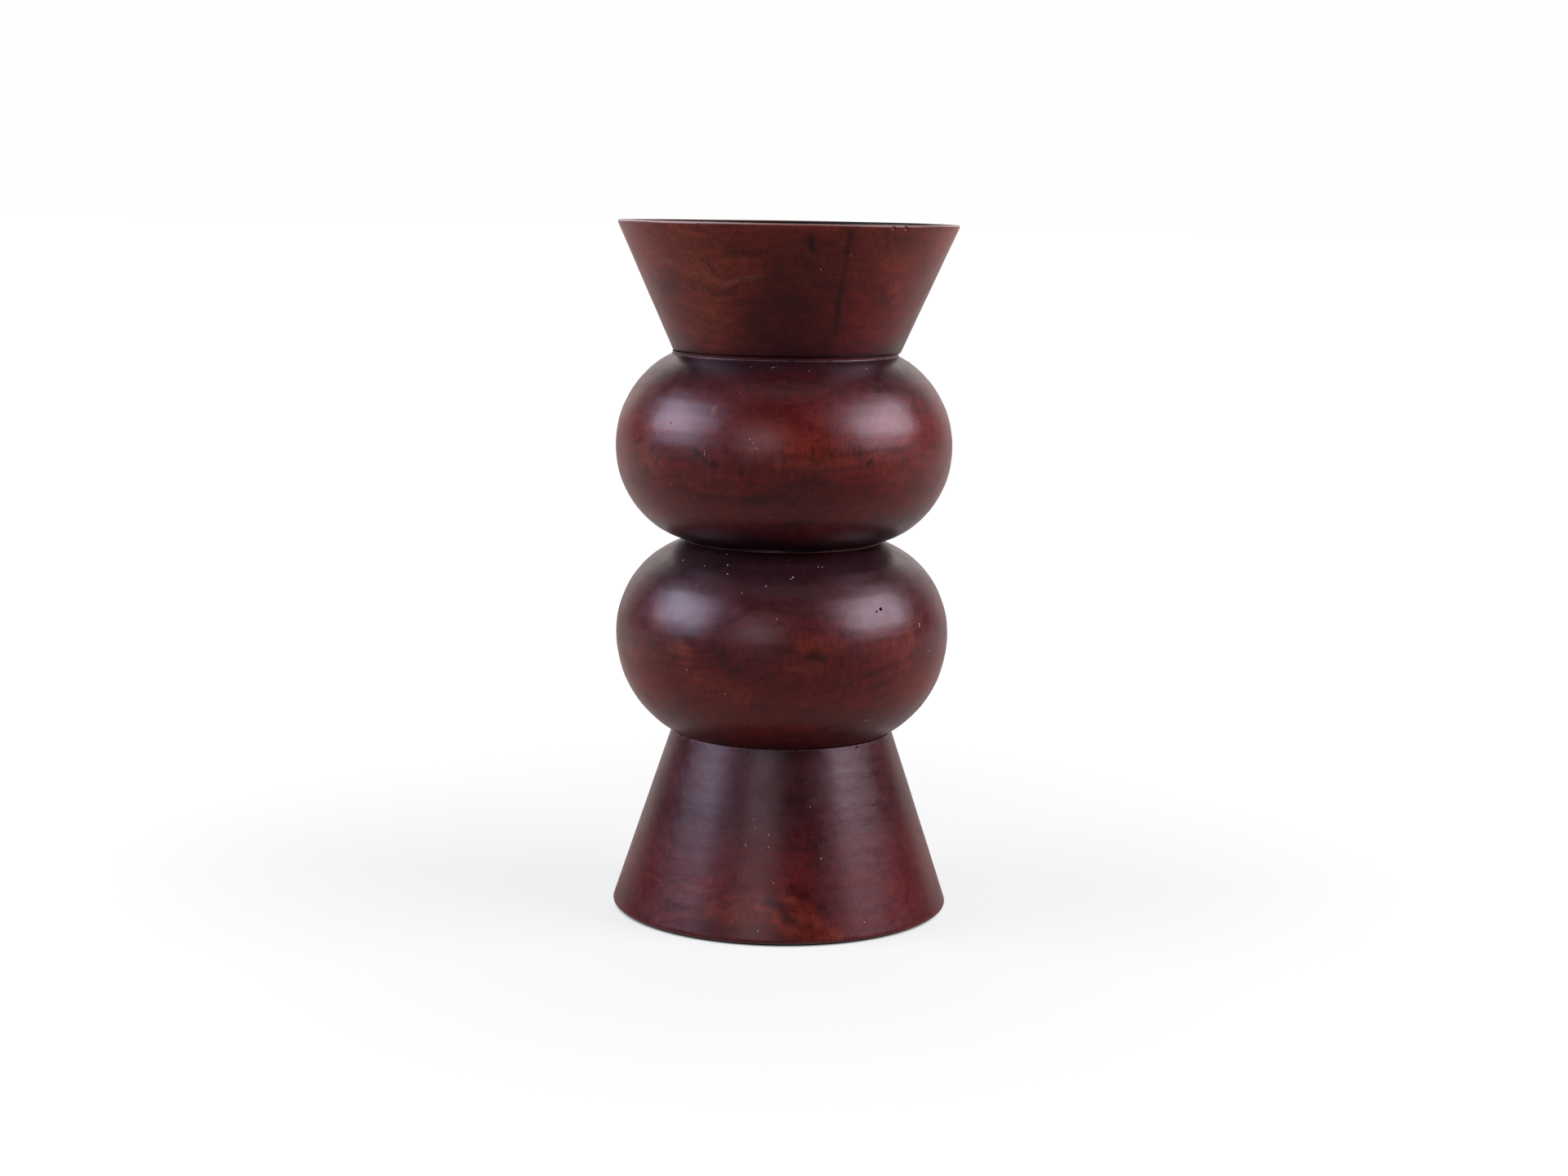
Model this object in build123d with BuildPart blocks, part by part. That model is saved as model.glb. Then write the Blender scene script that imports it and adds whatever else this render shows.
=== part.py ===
"""Turned wooden double gourd vase: four glued sections, a felt base and a lift-out watertight liner.

Lengths are millimetres. The origin is the centre of the base on the table, and +Z is up.
"""

import os
from math import acos, copysign, degrees, sqrt

from build123d import *

os.makedirs("parts", exist_ok=True)

# Section heights, from the table up
felt_proud = 1.0
foot_height = 79.4
lower_bulb_height = 84.6
upper_bulb_height = 82.2
neck_band_height = 1.4
mouth_height = 56.4

# Outer radii: the bulbs and the lip are turned from one billet, so they share the body's radius
body_radius = 74.25
rim_flare = 0.75
lower_bulb_skim = 0.35
base_radius = 75.4
foot_top_radius = 49.05
waist_radius = 42.35
neck_radius = 49.9

# Heights of each bulb's widest ring above that bulb's own lower end
lower_bulb_equator = 43.6
upper_bulb_equator = 42.1

# Fullness of each half bulb: how much of a quarter ellipse's height it takes up before its seam
lower_belly_share = 0.9
lower_crown_share = 0.97
upper_belly_share = 0.98
upper_crown_share = 0.9

# Seam details: each section sits a little inside the edge of the one below
waist_band_height = 0.7
neck_band_taper = 0.5
seam_step = 0.6
seam_chamfer = 0.5
foot_top_round = 0.8
base_edge_round = 1.2

# Glue joints: each spigot takes up this share of the wood between the well and the seam
spigot_share = 0.5
spigot_length = 10.0
spigot_clearance = 0.1
socket_spare_depth = 0.5

# Well, funnel and lip
well_radius = 31.5
well_floor_height = 33.0
throat_rise = 9.0
lip_width = 3.4
lip_round = 0.9
rebate_depth = 2.2
ledge_width = 2.4

# Felt disc under the foot
felt_radius = 70.0
felt_thickness = 2.0
felt_clearance = 0.3

# Sheet-metal liner
sheet_thickness = 0.6
bend_radius = 0.8
hem_bend_radius = 1.0
liner_clearance = 0.4
funnel_clearance = 0.9
liner_floor_gap = 0.8
solder_gap = 0.05
collar_skirt_length = 14.0
collar_hem_height = 1.6
tube_top_drop = 2.0
bottom_rim_height = 8.0

# How far a cutting shape runs past the face that it opens
cut_overrun = 1.0

# Levels along the axis
base_level = felt_proud
foot_seam = base_level + foot_height
waist_seam = foot_seam + lower_bulb_height
shoulder_level = waist_seam + upper_bulb_height
neck_seam = shoulder_level + neck_band_height
rim_level = neck_seam + mouth_height
ledge_level = rim_level - rebate_depth
throat_level = neck_seam + throat_rise
lower_equator_level = foot_seam + lower_bulb_equator
upper_equator_level = waist_seam + upper_bulb_equator

# Widest radii of the three sections that share the body's radius
lower_bulb_radius = body_radius - lower_bulb_skim
upper_bulb_radius = body_radius
rim_radius = body_radius + rim_flare

# Sockets run deeper than the spigots, which leaves room for glue
socket_depth = spigot_length + socket_spare_depth


def spigot_radius(seam_radius):
    """Radius of the spigot that joins two sections at a seam of the given radius."""
    return well_radius + spigot_share * (seam_radius - well_radius)


def socket_radius(seam_radius):
    """Radius of the socket that takes the spigot at that seam."""
    return spigot_radius(seam_radius) + spigot_clearance


def swell(widest, seam, fullness_share):
    """Elliptical arc from a bulb's widest ring, where it is upright, to the edge of a seam."""
    widest_radius, widest_level = widest
    seam_radius, seam_level = seam
    rise = seam_level - widest_level
    end_width_share = sqrt(1 - fullness_share**2)
    x_radius = (widest_radius - seam_radius) / (1 - end_width_share)
    y_radius = abs(rise) / fullness_share
    sweep = degrees(acos(end_width_share))
    centre = (widest_radius - x_radius, widest_level)
    return EllipticalCenterArc(centre, x_radius, y_radius, arc_size=copysign(sweep, rise))


# Foot: a cone with a blind well, the lower bulb's socket and a recess for the felt
with BuildPart() as foot:
    with BuildSketch(Plane.XZ):
        with BuildLine():
            Polyline(
                (0, base_level),
                (base_radius, base_level),
                (foot_top_radius, foot_seam),
                (0, foot_seam),
                close=True,
            )
        make_face()
    revolve(axis=Axis.Z)
    fillet(foot.edges().sort_by(Axis.Z)[0], radius=base_edge_round)
    fillet(foot.edges().sort_by(Axis.Z)[-1], radius=foot_top_round)
    with Locations((0, 0, foot_seam)):
        CounterBoreHole(
            radius=well_radius,
            counter_bore_radius=socket_radius(foot_top_radius),
            counter_bore_depth=socket_depth,
            depth=foot_seam - well_floor_height,
        )
    with BuildSketch(Plane.XY.offset(base_level)):
        Circle(felt_radius + felt_clearance)
    extrude(amount=felt_thickness - felt_proud, mode=Mode.SUBTRACT)
foot.part.label = "foot"
export_step(foot.part, "parts/foot.step")

# Felt pad: a disc glued into the recess, standing a little proud of the wood
with BuildPart() as felt_pad:
    with BuildSketch():
        Circle(felt_radius)
    extrude(amount=felt_thickness)
felt_pad.part.label = "felt_pad"
export_step(felt_pad.part, "parts/felt_pad.step")

# Lower bulb: two elliptical arcs that meet upright at the widest ring, bored through, with a spigot below
with BuildPart() as lower_bulb:
    with BuildSketch(Plane.XZ):
        with BuildLine():
            widest = (lower_bulb_radius, lower_equator_level)
            belly = swell(widest, (foot_top_radius - seam_step, foot_seam), lower_belly_share)
            crown = swell(widest, (waist_radius + seam_step, waist_seam), lower_crown_share)
            Polyline(crown @ 1, (0, waist_seam), (0, foot_seam), belly @ 1)
        make_face()
    revolve(axis=Axis.Z)
    with BuildSketch(Plane.XY.offset(foot_seam)):
        Circle(spigot_radius(foot_top_radius))
    extrude(amount=-spigot_length)
    with Locations((0, 0, waist_seam)):
        CounterBoreHole(
            radius=well_radius,
            counter_bore_radius=socket_radius(waist_radius),
            counter_bore_depth=socket_depth,
        )
lower_bulb.part.label = "lower_bulb"
export_step(lower_bulb.part, "parts/lower_bulb.step")

# Upper bulb: a narrow band at each end, two elliptical arcs between them, and a spigot below
with BuildPart() as upper_bulb:
    with BuildSketch(Plane.XZ):
        with BuildLine():
            widest = (upper_bulb_radius, upper_equator_level)
            belly = swell(widest, (waist_radius, waist_seam + waist_band_height), upper_belly_share)
            crown = swell(widest, (neck_radius, shoulder_level), upper_crown_share)
            Polyline(
                crown @ 1,
                (neck_radius - neck_band_taper, shoulder_level),
                (neck_radius, neck_seam),
                (0, neck_seam),
                (0, waist_seam),
                (waist_radius, waist_seam),
                belly @ 1,
            )
        make_face()
    revolve(axis=Axis.Z)
    with BuildSketch(Plane.XY.offset(waist_seam)):
        Circle(spigot_radius(waist_radius))
    extrude(amount=-spigot_length)
    with Locations((0, 0, neck_seam)):
        CounterBoreHole(
            radius=well_radius,
            counter_bore_radius=socket_radius(neck_radius),
            counter_bore_depth=socket_depth,
        )
upper_bulb.part.label = "upper_bulb"
export_step(upper_bulb.part, "parts/upper_bulb.step")

# Mouth: a flared cone with a rounded lip, a rebate for the liner's flange and a funnel into the well
rebate_radius = rim_radius - lip_width
ledge_radius = rebate_radius - ledge_width

with BuildPart() as mouth:
    with BuildSketch(Plane.XZ):
        with BuildLine():
            Polyline(
                (0, neck_seam),
                (neck_radius, neck_seam),
                (rim_radius, rim_level),
                (0, rim_level),
                close=True,
            )
        make_face()
    revolve(axis=Axis.Z)
    chamfer(mouth.edges().sort_by(Axis.Z)[0], length=seam_chamfer)
    with BuildSketch(Plane.XY.offset(neck_seam)):
        Circle(spigot_radius(neck_radius))
    extrude(amount=-spigot_length)
    with BuildSketch(Plane.XZ):
        with BuildLine():
            Polyline(
                (0, throat_level),
                (well_radius, throat_level),
                (ledge_radius, ledge_level),
                (rebate_radius, ledge_level),
                (rebate_radius, rim_level + cut_overrun),
                (0, rim_level + cut_overrun),
                close=True,
            )
        make_face()
    revolve(axis=Axis.Z, mode=Mode.SUBTRACT)
    with Locations((0, 0, throat_level)):
        Hole(radius=well_radius)
    fillet(mouth.edges().group_by(Axis.Z)[-1], radius=lip_round)
mouth.part.label = "mouth"
export_step(mouth.part, "parts/mouth.step")

# Liner radii, from the well inwards
skirt_radius = well_radius - liner_clearance
tube_radius = skirt_radius - sheet_thickness - solder_gap
tube_bore_radius = tube_radius - sheet_thickness

# Liner levels: the flange hangs on the ledge, and the closed end stops short of the well's floor
liner_level = well_floor_height + liner_floor_gap
tube_level = liner_level + sheet_thickness
tube_top = throat_level - tube_top_drop

# Liner collar: a skirt over the tube's top, a funnel and a flange with an upturned hem, all one sheet
with BuildPart() as liner_collar:
    with BuildSketch(Plane.XZ):
        with BuildLine():
            FilletPolyline(
                (skirt_radius, throat_level - collar_skirt_length),
                (skirt_radius, throat_level),
                (ledge_radius - funnel_clearance, ledge_level),
                (rebate_radius - liner_clearance, ledge_level),
                (rebate_radius - liner_clearance, ledge_level + collar_hem_height),
                radius=(bend_radius, bend_radius, hem_bend_radius),
            )
            offset(amount=sheet_thickness, side=Side.LEFT)
        make_face()
    revolve(axis=Axis.Z)
liner_collar.part.label = "liner_collar"
export_step(liner_collar.part, "parts/liner_collar.step")

# Liner tube: a plain rolled tube, open at both ends
with BuildPart() as liner_tube:
    with BuildSketch(Plane.XY.offset(tube_level)):
        Circle(tube_radius)
        Circle(tube_bore_radius, mode=Mode.SUBTRACT)
    extrude(amount=tube_top - tube_level)
liner_tube.part.label = "liner_tube"
export_step(liner_tube.part, "parts/liner_tube.step")

# Liner bottom: a pressed cap whose rim laps over the tube's lower end
with BuildPart() as liner_bottom:
    with BuildSketch(Plane.XY.offset(liner_level)):
        Circle(skirt_radius)
    extrude(amount=bottom_rim_height)
    with BuildSketch(Plane.XY.offset(tube_level)):
        Circle(tube_radius + solder_gap)
    extrude(amount=bottom_rim_height, mode=Mode.SUBTRACT)
liner_bottom.part.label = "liner_bottom"
export_step(liner_bottom.part, "parts/liner_bottom.step")
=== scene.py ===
import math

import bpy
import numpy as np
from mathutils import Matrix, Vector


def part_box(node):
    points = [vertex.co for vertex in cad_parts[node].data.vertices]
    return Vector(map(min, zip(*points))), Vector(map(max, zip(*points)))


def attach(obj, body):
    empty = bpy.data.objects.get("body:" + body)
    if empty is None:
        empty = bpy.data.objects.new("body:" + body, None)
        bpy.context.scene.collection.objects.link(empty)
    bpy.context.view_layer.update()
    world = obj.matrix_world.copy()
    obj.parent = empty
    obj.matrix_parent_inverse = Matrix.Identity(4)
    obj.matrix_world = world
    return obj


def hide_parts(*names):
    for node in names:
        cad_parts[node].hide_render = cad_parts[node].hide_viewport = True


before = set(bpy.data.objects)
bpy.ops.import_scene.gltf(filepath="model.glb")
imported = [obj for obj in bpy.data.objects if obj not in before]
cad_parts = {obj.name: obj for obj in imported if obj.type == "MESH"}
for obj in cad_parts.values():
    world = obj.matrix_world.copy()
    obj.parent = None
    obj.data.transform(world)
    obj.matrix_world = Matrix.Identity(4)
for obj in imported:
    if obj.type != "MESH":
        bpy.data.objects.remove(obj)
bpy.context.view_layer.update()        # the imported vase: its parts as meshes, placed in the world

MM = 0.001

# Levels and widest radii, read from the frame
base_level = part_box("foot")[0].z
foot_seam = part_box("foot")[1].z
waist_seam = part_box("lower_bulb")[1].z
neck_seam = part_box("upper_bulb")[1].z
rim_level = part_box("mouth")[1].z
lower_bulb_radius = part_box("lower_bulb")[1].x
upper_bulb_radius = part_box("upper_bulb")[1].x
felt_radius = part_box("felt_pad")[1].x
felt_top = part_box("felt_pad")[1].z
tube_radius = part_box("liner_tube")[1].x
collar_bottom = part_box("liner_collar")[0].z
cap_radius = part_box("liner_bottom")[1].x
cap_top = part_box("liner_bottom")[1].z

# Sizes of the turned wood that the frame's boxes don't give
base_radius = 75.4 * MM
base_edge_round = 1.2 * MM
base_ring_width = 3.0 * MM
foot_top_radius = 49.05 * MM
foot_top_round = 0.8 * MM
foot_top_land = 4.0 * MM
waist_radius = 42.35 * MM
waist_band = 0.7 * MM
waist_bead = 0.2 * MM
seam_step = 0.6 * MM
seam_chamfer = 0.5 * MM
neck_radius = 49.9 * MM
neck_band = 1.4 * MM
neck_band_tuck = 0.2 * MM
neck_bead = 0.5 * MM
neck_bead_top = neck_seam - neck_band + neck_bead
bead_width = 0.5 * MM
bead_round_share = 0.7
rim_radius = 75.0 * MM
lip_width = 3.4 * MM
lip_round = 0.9 * MM
rebate_depth = 2.2 * MM
ledge_width = 2.4 * MM
lower_equator = foot_seam + 43.6 * MM
upper_equator = waist_seam + 42.1 * MM
lower_belly_share = 0.9
lower_crown_share = 0.97
upper_belly_share = 0.98
upper_crown_share = 0.9
well_radius = 31.5 * MM
well_floor = 33.0 * MM
throat_level = neck_seam + 9.0 * MM
spigot_length = 10.0 * MM
spigot_clearance = 0.1 * MM
socket_spare = 0.5 * MM
felt_clearance = 0.3 * MM
axis_gap = 2.0 * MM

# How finely the wood is divided: along outside, beads, funnel and hidden walls, around it, and at marks
FINE_STEP = 0.8 * MM
BEAD_STEP = 0.15 * MM
FUNNEL_STEP = 4.0 * MM
COARSE_STEP = 8.0 * MM
SEGMENTS = 460
MARK_STEP = 0.22 * MM
MARK_REACH = 1.4 * MM

# Points along a rounded corner, the distance within which two points are one, and the angle of a sharp edge
CORNER_POINTS = 7
SAME_PLACE = 0.001 * MM
SHARP_ANGLE = math.radians(40)

# Share from which a ring counts as outside, and how fast walls that turn inwards stop following its shift
OUTSIDE_SHARE = 0.99
INWARD_FADE = 2

# Bake map: its half, its free edge, the share of its length that a hidden wall gets, and the caps' spot
MAP_HALF = 0.5
MAP_EDGE = 0.005
HIDDEN_SHARE = 0.15
CAP_SPOT = 0.3 * MAP_EDGE

# Camera, as solved from the outline of the vase in the photograph
PHOTO_WIDTH = 1920
PHOTO_HEIGHT = 1440
FOCAL_PX = 3164.7
SENSOR_WIDTH = 36.0
CAMERA_DISTANCE = 1.1399
CAMERA_HEIGHT = 0.3147
CAMERA_PITCH = math.radians(8.549)
CAMERA_ROLL = math.radians(0.88)
CAMERA_PAN = math.radians(0.028)

# Search along a line of sight: how far before the axis it starts, and its number of steps
SIGHT_REACH = 1.3 * base_radius
SIGHT_STEPS = 3000

# Soft lights: their distance from where they aim, the level of that place on the vase's axis, their colours,
# and the watts that a square metre needs for a radiance of 1
SOFTBOX_DISTANCE = 1.2
SOFTBOX_AIM = 0.02
COOL_LIGHT = (0.78, 0.82, 1.0)
ROSE_LIGHT = (1.0, 0.9, 0.97)
WHITE_LIGHT = (1.0, 1.0, 1.0)
LIGHT_WATTS = 4

# Room and floor: tint of the light that they throw on the vase, and what the camera sees of them
ROOM_COLOUR = (1.0, 0.89, 0.86, 1)
BACKGROUND_COLOUR = (1, 1, 1, 1)
BACKGROUND_STRENGTH = 0.99
FLOOR_RADIUS = 30.0
FLOOR_LEVEL = -0.2 * MM
FLOOR_CORNERS = 96
FLOOR_COLOUR = (0.2, 0.2, 0.2, 1)
FLOOR_GLOW = (0.99, 1.0, 0.995, 1)

# Colours of the stain; the darkest of them also serve as painted shade where the sections meet
DEEP_PLUM = (0.022, 0.006, 0.0085, 1)
PLUM = (0.048, 0.006, 0.0085, 1)
DULL_RED = (0.066, 0.0055, 0.006, 1)
WINE = (0.084, 0.0062, 0.0066, 1)
RED = (0.092, 0.006, 0.0045, 1)
BRIGHT_RED = (0.112, 0.0075, 0.0045, 1)
BROWN = (0.13, 0.0145, 0.0068, 1)
# also the colour of painted glow from the side lights
WARM_STAIN_AND_GLOW = (0.165, 0.026, 0.01, 1)

# Colours of the marks on it, the pale ones also painted highlights on edges, and the tint of the lacquer's
# shine
SCUFF_AND_GLINT = (0.42, 0.27, 0.25, 1)
BARE_WOOD_AND_GLINT = (0.95, 0.84, 0.8, 1)
HOLE = (0.006, 0.003, 0.003, 1)
DUST = (0.72, 0.62, 0.58, 1)
LACQUER_TINT = (1.0, 0.89, 1.0, 1)

# Colours of the enamel and the felt
ENAMEL_DARK = (0.004, 0.0038, 0.004, 1)
ENAMEL_LIGHT = (0.008, 0.0075, 0.0075, 1)
WATER_MARK = (0.04, 0.037, 0.033, 1)
FELT_DARK = (0.008, 0.008, 0.009, 1)
FELT_LIGHT = (0.03, 0.03, 0.031, 1)
FELT_CLUMP = (0.016, 0.015, 0.015, 1)

# For each section: shift of its figure, lowest and highest level, and stain colours by share of that height,
# darker towards the seams as painted shade of the crevices between sections
WOODS = {
    "foot": (
        (0.31, 0.12, 0.07), base_level, foot_seam,
        [(0.0, WINE), (0.36, WINE), (0.5, DULL_RED), (0.64, PLUM), (1.0, PLUM)],
    ),
    "lower_bulb": (
        (0.07, 0.43, 0.21), foot_seam, waist_seam,
        [(0.04, DULL_RED), (0.16, RED), (0.3, BRIGHT_RED), (0.42, RED), (0.52, DULL_RED), (0.7, DULL_RED),
         (0.82, PLUM), (0.91, DEEP_PLUM)],
    ),
    "upper_bulb": (
        (0.52, 0.27, 0.33), waist_seam, neck_seam,
        [(0.06, DEEP_PLUM), (0.12, PLUM), (0.2, RED), (0.5, RED), (0.66, BRIGHT_RED), (0.84, DULL_RED),
         (0.96, DEEP_PLUM)],
    ),
    "mouth": (
        (0.19, 0.61, 0.11), neck_seam, rim_level,
        [(0.0, DEEP_PLUM), (0.06, PLUM), (0.2, RED), (0.4, RED), (0.7, BROWN), (0.95, BROWN)],
    ),
}

# How strongly each section's lacquer shines
GLOSS = {"foot": 0.44, "lower_bulb": 0.5, "upper_bulb": 0.5, "mouth": 0.38}

# How the glued sections sit: shift of each outside to the right, and the slope by which the rim falls there
OFF_CENTRE = {"foot": 0.4 * MM, "lower_bulb": -0.2 * MM, "upper_bulb": -0.4 * MM, "mouth": 0.3 * MM}
RIM_SLOPE = 0.003

# Tool ripples, as depth and length, and the share that each section keeps: the cones are scraped smoother
RIPPLES = ((0.015 * MM, 6.5 * MM), (0.025 * MM, 14 * MM), (0.035 * MM, 27 * MM))
RIPPLE_SHARE = {"foot": 0.35, "lower_bulb": 1.0, "upper_bulb": 1.0, "mouth": 0.35}

# Out-of-round, as number of lobes, depth and the most that chance turns it; and hand-sanded flats
LOBES = ((2, 0.08 * MM, 3), (3, 0.04 * MM, 2))
FLAT_DEPTH = 0.02 * MM
FLAT_LENGTH = 19 * MM
FLATS_AROUND = 7

# Range of the phase that chance gives a wave
PHASES = (0, 6)

# How stains wander from their lines: depth and length of two waves, and the axes that move x, y and z
WANDERS = ((0.7 * MM, 3.1 * MM, [2, 0, 1]), (0.4 * MM, 1.3 * MM, [1, 2, 0]))

# Wear and painted highlights along edges: kind, radius and level of the edge, strength there, and how far
# from it the mark ends
EDGE_WEAR_AND_GLINT = {
    # a wear line with a painted highlight of the rounded edge
    "foot": [("pale", foot_top_radius, foot_seam, 0.375, 1.5 * MM)],
    "lower_bulb": [],
    # a painted highlight on the neck's bead
    "upper_bulb": [("pale", neck_radius, neck_bead_top, 0.7, 0.56 * MM)],
    "mouth": [
        # the lip: bare wood worn through, with a painted highlight along the rounded rim
        ("worn_and_glint", rim_radius - 0.3 * MM, rim_level, 1.8, 0.648 * MM),
        ("pale", rim_radius, rim_level, 0.225, 1.5 * MM),
    ],
}

# Tinted bands at the tops of the bulbs, and a painted highlight on the waist's bead: kind, the level from
# which they start, and strength
TOP_BANDS = {
    "foot": [],
    # the pale band is a painted highlight on the waist's bead
    "lower_bulb": [("warm", waist_seam, 1.0), ("pale", waist_seam, 0.2)],
    "upper_bulb": [("warm", neck_bead_top, 0.35)],
    "mouth": [],
}

# Darkening of the mouth: how strongly it sets in towards the inside of the lip, and how far the painted shade
# of the neck's groove rises from its seam
LIP_DARKENING = 2
SEAM_SHADE_RISE = 1.6 * seam_chamfer

# Stains by chance on the unseen side: how many of each kind, ranges of half width in mm and of strength
BACK_COUNT = 9
BACK_KINDS = {"warm": ((5, 10), (0.3, 0.6)), "dark": ((1.2, 7), (0.3, 0.7))}

# Ranges of their start as a share of the outline, drop in points of it, half turns from the front, and slant
BACK_PLACES = (0.1, 0.9)
BACK_DROPS = (2, 16)
BACK_TURNS = (0.6, 1.4)
BACK_SLANTS = (-0.25, 0.25)

# Wavy line on the mouth, as pixels of the photograph
MOUTH_WAVE = [(806, 320), (826, 324), (846, 331), (863, 334), (875, 344), (887, 349), (897, 344), (927, 341)]

# Stains and scuffs, with a few strokes of painted glow and painted shade: half width in millimetres,
# strength, and the pixels of the photograph on their line
STROKES = {
    "mouth": {
        "warm": [
            (3.6, 1.0, MOUTH_WAVE), (4.5, 0.5, [(835, 287), (861, 295), (878, 304)]),
            (11.0, 0.6, [(850, 290), (892, 310)]), (10.0, 0.5, [(832, 362), (872, 372)]),
            (9.0, 0.4, [(1082, 318), (1120, 328)]), (8.0, 0.5, [(1098, 360), (1138, 366)]),
            (22.0, 0.8, [(850, 300), (876, 405)]),
        ],
        "dark": [
            (2.0, 0.5, [(855, 319), (866, 326), (878, 337), (897, 336)]),
            (2.2, 0.5, [(863, 350), (878, 359), (892, 357), (906, 349)]),
            (3.8, 1.0, [(995, 291), (996, 304)]), (10.0, 0.65, [(982, 318), (1008, 345)]),
            (3.7, 0.8, [(1042, 283), (1036, 318), (1026, 372), (1021, 408)]),
            (6.0, 0.4, [(799, 346), (826, 352)]), (6.0, 0.45, [(895, 309), (941, 311)]),
            # the next line's last stroke is stain and partly painted shade above the neck
            (5.0, 0.35, [(1050, 352), (1084, 354)]), (14.0, 0.5, [(930, 402), (1010, 408)]),
            (22.0, 0.55, [(962, 325), (972, 410)]), (14.0, 0.4, [(1045, 290), (1052, 335)]),
            (18.0, 0.5, [(1000, 305), (1028, 345)]), (16.0, 0.4, [(1085, 288), (1135, 305)]),
        ],
        "pale": [
            (2.0, 0.13, MOUTH_WAVE),
        ],
    },
    "upper_bulb": {
        "warm": [
            (10.0, 0.5, [(972, 546), (1003, 553), (1036, 552)]), (7.0, 0.5, [(958, 566), (1040, 566)]),
            (8.0, 0.5, [(786, 552), (800, 566)]), (6.0, 0.35, [(1112, 548), (1124, 566)]),
            # the last stroke on the next line is painted glow of the right light
            (7.0, 0.4, [(850, 590), (905, 596)]), (12.0, 0.45, [(1075, 560), (1105, 580)]),
        ],
        "dark": [
            (2.0, 0.9, [(779, 540), (787, 540)]), (1.6, 0.8, [(798, 547), (798, 550)]),
            (1.9, 0.8, [(804, 560), (804, 566)]), (2.1, 0.9, [(794, 575), (794, 580)]),
            (1.8, 0.9, [(852, 556), (862, 565)]), (1.9, 1.0, [(871, 567), (876, 569)]),
            (2.0, 0.9, [(910, 577), (912, 581)]), (1.9, 1.0, [(1063, 569), (1067, 565)]),
            (1.3, 0.7, [(958, 559), (958, 565)]), (1.3, 0.8, [(973, 556), (973, 564)]),
            (1.2, 0.6, [(1003, 562), (1003, 570)]), (1.2, 0.7, [(1018, 552), (1018, 560)]),
            (1.2, 0.6, [(1031, 548), (1031, 556)]),
            (5.0, 0.5, [(915, 611), (957, 605), (990, 589), (1015, 590)]),
            (4.0, 0.45, [(1070, 478), (1105, 480), (1136, 487)]), (3.0, 0.4, [(915, 466), (1010, 470)]),
            (2.5, 0.4, [(920, 478), (1000, 481)]), (10.0, 0.35, [(975, 612), (1060, 604)]),
        ],
        "pale": [
            (1.3, 0.35, [(915, 536), (920, 545), (926, 551)]), (1.3, 0.3, [(918, 534), (928, 537)]),
            (1.2, 0.3, [(913, 541), (922, 551)]), (2.0, 0.55, [(874, 501), (874, 507)]),
        ],
    },
    "lower_bulb": {
        "warm": [
            (7.0, 0.8, [(828, 790), (842, 806)]), (6.0, 0.45, [(772, 798), (812, 800)]),
            (7.0, 0.45, [(985, 788), (1022, 792)]), (6.0, 0.5, [(968, 812), (1005, 815)]),
            (6.0, 0.45, [(1112, 775), (1116, 792)]), (9.0, 0.35, [(850, 835), (910, 848)]),
            # the last two strokes on the next line are painted glow of the side lights
            (12.0, 0.45, [(1075, 785), (1105, 803)]), (10.0, 0.4, [(805, 758), (822, 790)]),
        ],
        "dark": [
            (6.0, 0.45, [(884, 802), (902, 824)]), (3.5, 0.6, [(994, 801), (1013, 803)]),
            (4.0, 0.35, [(924, 868), (958, 846), (972, 838)]), (4.0, 0.3, [(985, 872), (1030, 858)]),
            (1.6, 0.4, [(1000, 868), (1050, 852), (1092, 832)]),
            (1.6, 0.4, [(1012, 878), (1066, 858), (1098, 842)]),
            (1.6, 0.35, [(975, 856), (1040, 838), (1085, 818)]), (1.2, 0.8, [(1126, 776), (1126, 780)]),
            (9.0, 0.3, [(800, 772), (845, 778)]), (14.0, 0.3, [(935, 722), (985, 740)]),
        ],
    },
    "foot": {
        "warm": [
            (4.0, 0.8, [(927, 1108), (946, 1117), (955, 1134), (970, 1139), (1031, 1143)]),
            (4.0, 0.7, [(960, 1098), (987, 1114), (996, 1124)]), (3.0, 0.6, [(866, 1074), (870, 1081)]),
            (9.0, 0.4, [(970, 1125), (1000, 1135)]), (8.0, 0.3, [(835, 1095), (860, 1085)]),
            (5.0, 0.5, [(872, 1092), (900, 1104), (930, 1100)]), (9.0, 0.5, [(868, 1114), (940, 1133)]),
        ],
        "dark": [
            (4.0, 0.5, [(969, 1090), (999, 1107), (1010, 1122)]),
            (3.6, 0.5, [(940, 1103), (968, 1127), (993, 1135)]), (6.0, 0.4, [(856, 1128), (872, 1131)]),
            (3.0, 0.6, [(974, 957), (984, 952)]), (1.3, 0.7, [(788, 1105), (797, 1085)]),
            (1.2, 0.6, [(784, 1100), (790, 1087)]), (1.2, 0.5, [(780, 1108), (784, 1098)]),
            (9.0, 0.3, [(985, 990), (985, 1040)]), (18.0, 0.35, [(962, 930), (968, 1010)]),
            (14.0, 0.4, [(1000, 1025), (1012, 1085)]),
        ],
    },
}

# Nicks and borer holes: pixel, radius and depth in millimetres, and the share of the radius that is wall
PITS = {
    "mouth": [
        ((1094, 279), 1.1, 0.4), ((1109, 279), 1.2, 0.5), ((855, 275), 0.9, 0.2), ((868, 276), 0.9, 0.25),
    ],
    "upper_bulb": [((863, 555), 0.5, 0.15), ((823, 519), 0.5, 0.12)],
    "lower_bulb": [((1079, 746), 0.75, 1.6), ((1074, 749), 0.45, 0.8)],
    "foot": [
        ((916, 920), 0.8, 0.25), ((1048, 916), 0.9, 0.3), ((782, 1023), 0.7, 0.2), ((1069, 988), 0.6, 0.25),
    ],
}
PIT_WALL_SHARE = 0.45

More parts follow.
